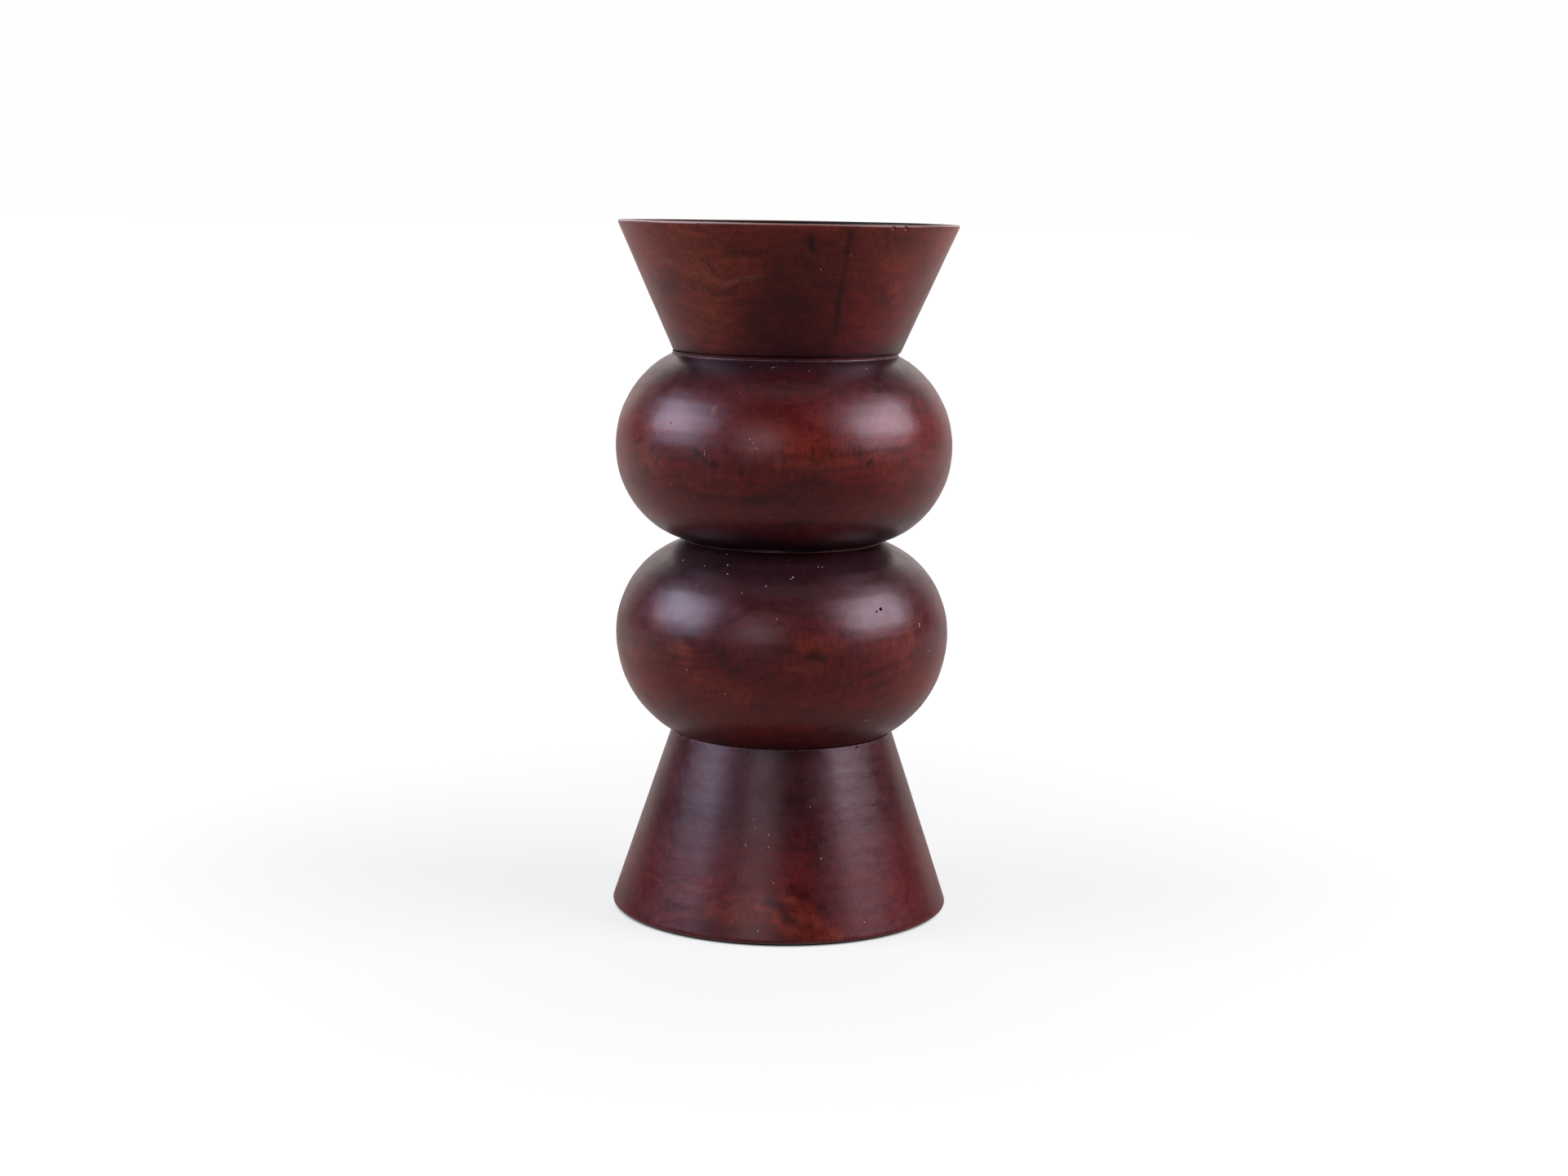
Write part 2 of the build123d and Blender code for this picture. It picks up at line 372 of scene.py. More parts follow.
# Specks: pixel of the photograph and radius in millimetres
PALE_SPECKS = {
    "mouth": [((1005, 330), 0.32)],
    "upper_bulb": [
        ((920, 449), 0.35), ((946, 450), 0.45), ((950, 449), 0.3), ((991, 454), 0.4), ((1061, 451), 0.45),
        ((823, 516), 0.35), ((823, 520), 0.4), ((839, 526), 0.35), ((863, 552), 0.32), ((863, 555), 0.36),
        ((863, 558), 0.3), ((765, 538), 0.3), ((769, 546), 0.3), ((769, 550), 0.32), ((1012, 480), 0.35),
        ((1125, 516), 0.4), ((918, 538), 0.3), ((922, 543), 0.34), ((925, 549), 0.34), ((928, 551), 0.3),
        ((1040, 670), 0.4),
    ],
    "lower_bulb": [
        ((836, 686), 0.59), ((863, 693), 0.45), ((890, 679), 0.59), ((891, 692), 0.52), ((891, 703), 0.55),
        ((820, 703), 0.39), ((908, 726), 0.39), ((938, 718), 0.45), ((971, 707), 0.55), ((968, 709), 0.44),
        ((966, 686), 0.39), ((1002, 694), 0.47), ((1007, 694), 0.39), ((1126, 764), 0.59),
        ((1126, 767), 0.52), ((951, 758), 0.39), ((841, 820), 0.44), ((888, 850), 0.39),
        ((1060, 882), 0.55), ((1064, 883), 0.39), ((1137, 797), 0.52), ((1093, 678), 0.45),
    ],
    "foot": [
        ((941, 1022), 0.5), ((913, 1035), 0.48), ((925, 1015), 0.3), ((947, 1081), 0.45),
        ((1005, 1052), 0.4), ((1035, 1082), 0.42), ((1058, 1129), 0.5), ((928, 1140), 0.5),
        ((810, 996), 0.4), ((814, 996), 0.36), ((1067, 989), 0.42), ((1071, 988), 0.36),
        ((1065, 994), 0.3), ((1081, 943), 0.42), ((992, 988), 0.34), ((1080, 1050), 0.34),
        ((1035, 999), 0.3), ((893, 1102), 0.3), ((782, 1023), 0.5), ((895, 1128), 0.3),
        ((941, 1037), 0.34), ((923, 1003), 0.3), ((866, 1006), 0.28), ((1006, 1051), 0.36),
    ],
}
DARK_SPECKS = {
    "mouth": [((975, 320), 0.8), ((972, 313), 0.5)],
    "upper_bulb": [
        ((1093, 478), 0.35), ((1093, 482), 0.35), ((1093, 486), 0.35), ((783, 541), 0.5), ((776, 540), 0.4),
    ],
    "lower_bulb": [((1079, 746), 0.95), ((1074, 749), 0.55), ((1077, 744), 0.35)],
    "foot": [((1071, 990), 0.45), ((916, 921), 0.5), ((911, 922), 0.4)],
}

# Share of a speck's radius that is drawn, and the share of that which its core takes
SPECK_SHARE = 0.72
SPECK_CORE = 0.55

# Felt pad: division, rounded edge, gap above, inset, unevenness of its edge and underside, and chance's seed
FELT_SEGMENTS = 360
FELT_STEP = 1.5 * MM
FELT_ROUND = 0.5 * MM
FELT_GAP = 0.05 * MM
FELT_INSET = 0.2 * MM
FELT_RAGGED = 0.05 * MM
FELT_LUMPS = 0.03 * MM
FELT_SEED = 7

# Solder on the liner: division, reach along the tube, and the waves and strengths of its lumps
SOLDER_SEGMENTS = 180
SOLDER_REACH = 0.9 * MM
SOLDER_WAVES = (3, 7, 13, 29)
SOLDER_LUMPS = (0.02, 0.08)

# Lapped seam of the liner's tube: rows, free ends, size, place, half its profile as shares of that size,
# and how it wanders, as depth and length of two waves
LAP_ROWS = 120
LAP_END = 1.0 * MM
LAP_HALF_WIDTH = 2.6 * MM
LAP_PROUD = 0.35 * MM
LAP_ANGLE = math.radians(35)
LAP_PROFILE = [(1.0, -0.3), (1.0, 0.2), (0.85, 0.85), (0.4, 1.0)]
LAP_WANDERS = ((0.12 * MM, 17 * MM), (0.06 * MM, 4.3 * MM))


def make_camera():
    """The photograph's viewpoint."""
    data = bpy.data.cameras.new("camera")
    data.sensor_width = SENSOR_WIDTH
    data.lens = FOCAL_PX / PHOTO_WIDTH * SENSOR_WIDTH
    camera = bpy.data.objects.new("camera", data)
    camera.matrix_world = (
        Matrix.Translation((0, -CAMERA_DISTANCE, CAMERA_HEIGHT))
        @ Matrix.Rotation(-CAMERA_PAN, 4, "Z")
        @ Matrix.Rotation(math.pi / 2 - CAMERA_PITCH, 4, "X")
        @ Matrix.Rotation(CAMERA_ROLL, 4, "Z")
    )
    bpy.context.scene.collection.objects.link(camera)
    bpy.context.scene.camera = camera
    return camera


def fill(path, step):
    """The same path with its long runs divided into steps."""
    dense = [path[0]]
    for start, end in zip(path, path[1:]):
        count = max(1, math.ceil(np.linalg.norm(end - start) / step))
        dense.extend(start + (end - start) * part / count for part in range(1, count + 1))
    return dense


def run(points, radii, step):
    """Points along straight runs whose corners are rounded to the given radii, at most step apart."""
    points = [np.array(point, float) for point in points]
    path = [points[0]]
    for before, corner, after, radius in zip(points, points[1:], points[2:], radii):
        into = (corner - before) / np.linalg.norm(corner - before)
        out = (after - corner) / np.linalg.norm(after - corner)
        turn = math.acos(np.clip(into @ out, -1, 1))
        if radius == 0 or turn == 0:
            path.append(corner)
            continue
        start = corner - radius * math.tan(turn / 2) * into
        side = np.array((-into[1], into[0])) * np.sign(into[0] * out[1] - into[1] * out[0])
        centre = start + radius * side
        for angle in np.linspace(0, turn, CORNER_POINTS):
            path.append(centre - radius * side * math.cos(angle) + radius * into * math.sin(angle))
    path.append(points[-1])
    return fill(path, step)


def hidden_run(points, step=COARSE_STEP):
    """Straight runs with sharp corners, for walls that other pieces cover."""
    return run(points, [0] * (len(points) - 2), step)


def swell(widest, end, fullness_share):
    """Elliptical arc from a bulb's widest ring, where it is upright, to an end point."""
    sweep = math.asin(fullness_share)
    across = (widest[0] - end[0]) / (1 - math.cos(sweep))
    along = (end[1] - widest[1]) / fullness_share
    count = math.ceil(max(across, abs(along)) * sweep / FINE_STEP) + 1
    return [
        np.array((widest[0] - across + across * math.cos(angle), widest[1] + along * math.sin(angle)))
        for angle in np.linspace(0, sweep, count)
    ]


def spigot_radius(seam_radius):
    """A spigot lies halfway between the well and the outside of its seam."""
    return (well_radius + seam_radius) / 2


def spigot_run(seam_radius, seam, *ends):
    """Hidden spigot of a section, from the well out to its lower seam."""
    spigot = spigot_radius(seam_radius)
    spigot_end = seam - spigot_length
    return hidden_run([(well_radius, spigot_end), (spigot, spigot_end), (spigot, seam), *ends])


def socket_run(start, seam_radius, seam, *ends):
    """Hidden socket of a section, from its upper seam down into the well."""
    socket = spigot_radius(seam_radius) + spigot_clearance
    socket_floor = seam - spigot_length - socket_spare
    return hidden_run([start, (socket, seam), (socket, socket_floor), (well_radius, socket_floor), *ends])


def foot_outline():
    """Hidden underside, outside, and hidden inside of the foot."""
    recess = felt_radius + felt_clearance
    ring = base_radius - base_ring_width
    land = (foot_top_radius - foot_top_land, foot_seam)
    under = hidden_run([(axis_gap, felt_top), (recess, felt_top), (recess, base_level), (ring, base_level)])
    outside = run(
        [(ring, base_level), (base_radius, base_level), (foot_top_radius, foot_seam), land],
        [base_edge_round, foot_top_round],
        FINE_STEP,
    )
    floor = [(well_radius, well_floor), (axis_gap, well_floor)]
    inside = socket_run(land, foot_top_radius, foot_seam, *floor)
    return under, outside, inside


def lower_bulb_outline():
    """Spigot, outside with its waist bead, and hidden inside of the lower bulb."""
    bottom = (foot_top_radius - seam_step, foot_seam)
    top = (waist_radius + seam_step, waist_seam)
    tuck = (top[0] - bead_width, waist_seam)
    widest = (lower_bulb_radius, lower_equator)
    bead_top = waist_seam + waist_bead
    low = spigot_run(foot_top_radius, foot_seam, bottom)
    belly = swell(widest, bottom, lower_belly_share)
    crown = swell(widest, top, lower_crown_share)
    bead = run(
        [top, (top[0], bead_top), (tuck[0], bead_top), tuck],
        [bead_round_share * waist_bead, 0],
        BEAD_STEP,
    )
    inside = socket_run(tuck, waist_radius, waist_seam, (well_radius, foot_seam - spigot_length))
    return low, belly[::-1] + crown + bead, inside


def upper_bulb_outline():
    """Spigot, outside with its neck band, and hidden inside of the upper bulb."""
    bottom = (waist_radius, waist_seam + waist_band)
    shoulder = (neck_radius, neck_seam - neck_band)
    tuck = (neck_radius - neck_band_tuck, neck_seam)
    widest = (upper_bulb_radius, upper_equator)
    low = spigot_run(waist_radius, waist_seam, (waist_radius, waist_seam), bottom)
    belly = swell(widest, bottom, upper_belly_share)
    crown = swell(widest, shoulder, upper_crown_share)
    band = run(
        [shoulder, (neck_radius, neck_bead_top), (neck_radius - bead_width, neck_bead_top), tuck],
        [bead_round_share * neck_bead, 0],
        BEAD_STEP,
    )
    inside = socket_run(tuck, neck_radius, neck_seam, (well_radius, waist_seam - spigot_length))
    return low, belly[::-1] + crown + band, inside


def mouth_outline():
    """Spigot, outside with its lip, and the funnel and well that the liner covers."""
    rebate = rim_radius - lip_width
    ledge = rim_level - rebate_depth
    slope = (rim_radius - neck_radius) / (rim_level - neck_seam)
    bottom = (neck_radius - seam_chamfer, neck_seam)
    arris = (neck_radius + seam_chamfer * slope, neck_seam + seam_chamfer)
    low = spigot_run(neck_radius, neck_seam, bottom)
    outside = run(
        [bottom, arris, (rim_radius, rim_level), (rebate, rim_level), (rebate, ledge)],
        [0, lip_round, lip_round],
        FINE_STEP,
    )
    funnel = [(rebate, ledge), (rebate - ledge_width, ledge), (well_radius, throat_level)]
    inside = hidden_run([*funnel, (well_radius, neck_seam - spigot_length)], FUNNEL_STEP)
    return low, outside, inside


OUTLINES = {
    "foot": foot_outline(),
    "lower_bulb": lower_bulb_outline(),
    "upper_bulb": upper_bulb_outline(),
    "mouth": mouth_outline(),
}
outside_points = np.array([point for _, outside, _ in OUTLINES.values() for point in outside])
outside_points = outside_points[np.argsort(outside_points[:, 1], kind="stable")]
camera = make_camera()


def seen_at(pixel):
    """The point of the wood's outside that a pixel of the photograph shows."""
    x, y = pixel
    turn = camera.matrix_world.to_3x3()
    toward = (turn @ Vector((x - PHOTO_WIDTH / 2, PHOTO_HEIGHT / 2 - y, -FOCAL_PX))).normalized()
    reach = np.linspace(CAMERA_DISTANCE - SIGHT_REACH, CAMERA_DISTANCE, SIGHT_STEPS)
    points = np.array(camera.matrix_world.translation) + np.outer(reach, toward)
    wood = np.interp(points[:, 2], outside_points[:, 1], outside_points[:, 0])
    return points[np.argmax(np.hypot(points[:, 0], points[:, 1]) <= wood)]


def smooth(share):
    """A share from 0 to 1 that starts and ends gently."""
    share = np.clip(share, 0, 1)
    return share * share * (3 - 2 * share)


def closeness(points, line, width):
    """1 on a line through some places, falling smoothly to 0 at the given distance from it."""
    nearest = np.full(len(points), np.inf)
    for start, end in zip(line, line[1:]):
        along = end - start
        share = np.clip((points - start) @ along / (along @ along), 0, 1)
        nearest = np.minimum(nearest, np.linalg.norm(points - start - share[:, None] * along, axis=1))
    return smooth(1 - nearest / width)


def refined(values, centres, reach, step):
    """Rising values with finer ones added close to some centres, none much nearer than half a step."""
    extra = [centre + np.arange(-reach, reach, step) for centre in centres]
    merged = np.sort(np.concatenate([values, *extra]))
    merged = merged[(merged >= values[0]) & (merged <= values[-1])]
    keep = [merged[0]]
    for value in merged[1:]:
        if value - keep[-1] > step / 2:
            keep.append(value)
    return np.array(keep)


def relief(section, arc, angles):
    """How far the outside stands proud of its outline: tool ripples, out-of-round and hand-sanded flats."""
    draw = np.random.default_rng(sum(map(ord, section)))
    ripple = RIPPLE_SHARE[section] * sum(
        depth * np.sin(2 * math.pi * arc / length + draw.uniform(*PHASES)) for depth, length in RIPPLES
    )
    around = sum(depth * np.cos(lobes * (angles - draw.uniform(0, most))) for lobes, depth, most in LOBES)
    flats_along = np.sin(arc / FLAT_LENGTH + draw.uniform(*PHASES))
    flats_around = np.cos(FLATS_AROUND * angles + draw.uniform(*PHASES))
    return ripple[:, None] + around[None, :] + FLAT_DEPTH * np.outer(flats_along, flats_around)


def ring_points(radii, angles, levels):
    """Points of one ring around the axis."""
    return zip(radii * np.cos(angles), radii * np.sin(angles), levels)


def ring_faces(rings, count, looped=False):
    """Quads between neighbouring rings of count points, with a cap at both ends unless the rings loop."""
    first = np.arange(rings if looped else rings - 1)[:, None]
    second = (first + 1) % rings
    across = np.arange(count)
    beside = (across + 1) % count
    corners = ((first, across), (first, beside), (second, beside), (second, across))
    faces = np.stack([(ring * count + point).ravel() for ring, point in corners], axis=1).tolist()
    if not looped:
        faces.append(list(range(count))[::-1])
        faces.append(list(range((rings - 1) * count, rings * count)))
    return faces


def add_piece(name, verts, faces, sharp_angle=SHARP_ANGLE):
    """A new object with a smooth mesh, apart from edges sharper than the given angle."""
    mesh = bpy.data.meshes.new(name)
    mesh.from_pydata(verts, [], faces)
    mesh.shade_smooth()
    mesh.set_sharp_from_angle(angle=sharp_angle)
    piece = bpy.data.objects.new(name, mesh)
    bpy.context.scene.collection.objects.link(piece)
    return piece


def bake_map(mesh, share, angles):
    """UV map for baking: a section's front half in the lower half of the map, and its back half above it."""
    ends = np.append(angles, math.pi)
    middle = (ends[:-1] + ends[1:]) / 2
    back = np.abs(middle) > math.pi / 2
    start = np.where(back, math.pi / 2, -math.pi / 2)
    wrap = np.where(back & (middle < 0), 2 * math.pi, 0)
    left = (ends[:-1] + wrap - start) / math.pi
    right = (ends[1:] + wrap - start) / math.pi
    u = np.stack([left, right, right, left], axis=1) * (1 - 2 * MAP_EDGE) + MAP_EDGE
    rows = np.stack([share[:-1], share[:-1], share[1:], share[1:]], axis=1)
    v = rows * (MAP_HALF - 2 * MAP_EDGE) + MAP_EDGE
    grid = np.empty((len(v), len(u), 4, 2))
    grid[..., 0] = u[None, :, :]
    grid[..., 1] = v[:, None, :] + MAP_HALF * back[None, :, None]
    corners = grid.reshape(-1, 2)
    turn = np.linspace(0, 2 * math.pi, len(mesh.loops) - len(corners))
    caps = MAP_HALF + CAP_SPOT * np.stack([np.cos(turn), np.sin(turn)], axis=1)
    layer = mesh.uv_layers.new(name="OFBake")
    layer.data.foreach_set("uv", np.concatenate([corners, caps]).ravel())


def section_profile(section):
    """A section's whole outline, which of its points are outside, and whether it closes on itself."""
    low, outside, inside = OUTLINES[section]
    points = np.array(low[:-1] + outside + inside[1:])
    exposed = np.array([False] * (len(low) - 1) + [True] * len(outside) + [False] * (len(inside) - 1))
    closed = np.linalg.norm(points[0] - points[-1]) < SAME_PLACE
    fresh = np.append(True, np.linalg.norm(np.diff(points, axis=0), axis=1) > SAME_PLACE)
    return points[fresh], exposed[fresh], closed


def settled(section, verts, hold):
    """Places of a section as it is glued: shifted a little, and with the mouth's rim sloping."""
    moved = verts.copy()
    moved[:, 0] += OFF_CENTRE[section] * hold
    if section == "mouth":
        rise = (verts[:, 2] - neck_seam) / (rim_level - neck_seam)
        moved[:, 2] -= RIM_SLOPE * verts[:, 0] * hold * rise
    return moved


def turned_section(section):
    """One section of the vase as a closed mesh, with its stains, wear, painted highlights and painted shade
    as vertex attributes.
    """
    points, exposed, closed = section_profile(section)
    arc = np.append(0, np.cumsum(np.linalg.norm(np.diff(points, axis=0), axis=1)))

    pits = [(seen_at(pixel), width * MM, depth * MM) for pixel, width, depth in PITS[section]]
    pit_arcs = []
    pit_angles = []
    for (x, y, z), _, _ in pits:
        pit_arcs.append(arc[np.argmin(np.hypot(points[:, 0] - math.hypot(x, y), points[:, 1] - z))])
        pit_angles.append(math.atan2(x, -y))
    rings = refined(arc, pit_arcs, MARK_REACH, MARK_STEP)
    turn = np.linspace(-math.pi, math.pi, SEGMENTS + 1)
    angles = refined(turn, pit_angles, MARK_REACH / base_radius, MARK_STEP / base_radius)[:-1]

    shown = np.interp(rings, arc, exposed.astype(float)) > OUTSIDE_SHARE
    share = np.append(0, np.cumsum(np.diff(rings) * np.where(shown[1:], 1, HIDDEN_SHARE)))
    if closed:
        rings = rings[:-1]
        shown = shown[:-1]
    radius = np.interp(rings, arc, points[:, 0])
    level = np.interp(rings, arc, points[:, 1])
    slope_r = np.gradient(radius, rings)
    slope_z = np.gradient(level, rings)
    out_r = slope_z / np.hypot(slope_r, slope_z)
    out_z = -slope_r / np.hypot(slope_r, slope_z)
    spokes = np.stack((np.sin(angles), -np.cos(angles)), axis=1)

    def place_rings(offset):
        """Vertices of every ring, each moved out from the outline by its own offset."""
        across = (radius[:, None] + offset * out_r[:, None])[:, :, None] * spokes[None, :, :]
        height = level[:, None] + offset * out_z[:, None]
        return np.dstack((across, height[:, :, None])).reshape(-1, 3)

    proud = shown[:, None] * relief(section, rings, angles)
    uncut = place_rings(proud)
    for place, pit_radius, depth in pits:
        away = np.linalg.norm(uncut - place, axis=1).reshape(proud.shape)
        hollow = smooth((pit_radius - away) / (PIT_WALL_SHARE * pit_radius))
        proud = proud - depth * hollow * shown[:, None]
    verts = place_rings(proud)
    hold = np.repeat(shown * np.clip(1 + INWARD_FADE * out_r, 0, 1), len(angles))

    faces = ring_faces(len(rings), len(angles), looped=closed)
    piece = add_piece("turned_" + section, settled(section, verts, hold).tolist(), faces)
    bake_map(piece.data, share / share[-1], angles)
    paint(piece.data, section, verts)
    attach(piece, "vase")
    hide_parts(section)
    return piece


def back_strokes(section):
    """Stains like the photographed ones, drawn by chance on the side that the photograph doesn't show."""
    draw = np.random.default_rng(len(section))
    outside = OUTLINES[section][1]
    for kind, (widths, strengths) in BACK_KINDS.items():
        for _ in range(BACK_COUNT):
            place = int(draw.uniform(*BACK_PLACES) * len(outside))
            drop = int(draw.uniform(*BACK_DROPS))
            start = draw.uniform(*BACK_TURNS) * math.pi
            turns = (start, start + draw.uniform(*BACK_SLANTS))
            line = [
                np.array((radius * math.sin(turn), -radius * math.cos(turn), level))
                for turn, (radius, level) in zip(turns, (outside[place], outside[max(0, place - drop)]))
            ]
            yield kind, draw.uniform(*widths), draw.uniform(*strengths), line


def strokes_of(section):
    """Every stroke of a section: its kind, half width, strength and the places that it runs through."""
    for kind, strokes in STROKES[section].items():
        for width, strength, pixels in strokes:
            yield kind, width, strength, [seen_at(pixel) for pixel in pixels]
    yield from back_strokes(section)


def paint(mesh, section, verts):
    """Writes the strokes, the wear and painted highlights along the edges, and the painted shade, to the mesh
    as attributes that the material reads.
    """
    layers = {kind: np.zeros(len(verts)) for kind in ("warm", "dark", "pale", "worn_and_glint")}

    def lay(kind, values):
        layers[kind] = np.maximum(layers[kind], np.clip(values, 0, 1))

    wander = sum(depth * np.sin(verts[:, axes] / length) for depth, length, axes in WANDERS)
    for kind, width, strength, line in strokes_of(section):
        lay(kind, strength * closeness(verts + wander, line, width * MM))
    radius = np.hypot(verts[:, 0], verts[:, 1])
    level = verts[:, 2]
    for kind, edge_radius, edge_level, strength, reach in EDGE_WEAR_AND_GLINT[section]:
        lay(kind, strength * (1 - np.hypot(radius - edge_radius, level - edge_level) / reach))
    for kind, start, strength in TOP_BANDS[section]:
        lay(kind, strength * (level > start))
    if section == "mouth":
        # darker towards the inside of the lip
        inward = (rim_radius - lip_width / 2 - radius) / lip_width
        lay("dark", LIP_DARKENING * inward * (rim_level - level < rebate_depth))
        # dark joint line at the neck's seam, with painted shade of its groove
        lay("dark", (neck_seam + SEAM_SHADE_RISE - level) / seam_chamfer)
    for kind, values in layers.items():
        attribute = mesh.attributes.new(kind, "FLOAT", "POINT")
        attribute.data.foreach_set("value", values)


class Nodes:
    """Adds nodes to a material or world, each socket given a value or another node's output."""

    def __init__(self, owner, shader="Principled BSDF"):
        owner.use_nodes = True
        self.tree = owner.node_tree
        self.shader = self.tree.nodes[shader]

    def put(self, socket, value):
        if isinstance(value, bpy.types.NodeSocket):
            self.tree.links.new(value, socket)
        else:
            socket.default_value = value

    def give(self, name, value):
        """Sets or links a socket of the shader itself."""
        self.put(self.shader.inputs[name], value)

    def add(self, kind, sockets, **settings):
        node = self.tree.nodes.new("ShaderNode" + kind)
        for key, value in settings.items():
            setattr(node, key, value)
        for key, value in sockets.items():
            self.put(node.inputs[key], value)
        return node

    def math(self, operation, first, second=0.0):
        return self.add("Math", {0: first, 1: second}, operation=operation).outputs[0]

    def product(self, first, *others):
        for other in others:
            first = self.math("MULTIPLY", first, other)
        return first

    def total(self, first, *others):
        for other in others:
            first = self.math("ADD", first, other)
        return first

    def ramp(self, value, low, high, to_low=0.0, to_high=1.0):
        sockets = {"Value": value, "From Min": low, "From Max": high, "To Min": to_low, "To Max": to_high}
        return self.add("MapRange", sockets, interpolation_type="SMOOTHSTEP").outputs[0]

    def mix(self, factor, first, second, blend="MIX"):
        node = self.add("Mix", {0: factor, 6: first, 7: second}, data_type="RGBA", blend_type=blend)
        return node.outputs[2]

    def stretched(self, vector, scale, location=(0, 0, 0)):
        return self.add("Mapping", {"Vector": vector, "Scale": scale, "Location": location}).outputs[0]

    def noise(self, vector, scale=1.0, detail=3.0, roughness=0.5, output=0):
        sockets = {"Vector": vector, "Scale": scale, "Detail": detail, "Roughness": roughness}
        return self.add("TexNoise", sockets).outputs[output]

    def pushed(self, vector, scale, distance):
        """The same places, each moved by chance in a smooth way."""
        drift = self.noise(vector, scale, detail=2, output=1)
        drift = self.add("VectorMath", {0: drift, 1: (0.5, 0.5, 0.5)}, operation="SUBTRACT").outputs[0]
        drift = self.add("VectorMath", {0: drift, "Scale": distance}, operation="SCALE").outputs[0]
        return self.add("VectorMath", {0: vector, 1: drift}, operation="ADD").outputs[0]

    def stops(self, value, stops):
        """Colour ramp through the given shares and colours."""
        node = self.add("ValToRGB", {"Fac": value})
        ramp = node.color_ramp
        for _ in stops[2:]:
            ramp.elements.new(1.0)
        for element, (share, colour) in zip(ramp.elements, stops):
            element.position = share
            element.color = colour
        return node.outputs[0]

    def attribute(self, name):
        return self.add("Attribute", {}, attribute_name=name).outputs["Fac"]

    def spots(self, vector, specks):
        """1 inside any of some small round marks, given as places and radii."""
        total = None
        for place, radius in specks:
            away = self.add("VectorMath", {0: vector, 1: place}, operation="DISTANCE").outputs["Value"]
            spot = self.ramp(away, radius, SPECK_CORE * radius)
            total = spot if total is None else self.math("MAXIMUM", total, spot)
        return total

    def bump(self, height, strength, distance, **others):
        sockets = {"Height": height, "Strength": strength, "Distance": distance, **others}
        return self.add("Bump", sockets).outputs[0]

    def keep_for_camera(self, other, output):
        """Shows the shader to the camera alone, and another one to light and reflections."""
        seen = self.add("LightPath", {}).outputs["Is Camera Ray"]
        mix = self.add("MixShader", {"Fac": seen, 1: other.outputs[0], 2: self.shader.outputs[0]})
        self.put(self.tree.nodes[output].inputs["Surface"], mix.outputs[0])


def new_material(name):
    """A new material, its nodes, and the places on the object that wears it."""
    material = bpy.data.materials.new(name)
    nodes = Nodes(material)
    return material, nodes, nodes.add("TexCoord", {}).outputs["Object"]


def specks_of(table, section):
    """A section's specks as places and radii."""
    return [(seen_at(pixel), SPECK_SHARE * radius * MM) for pixel, radius in table[section]]


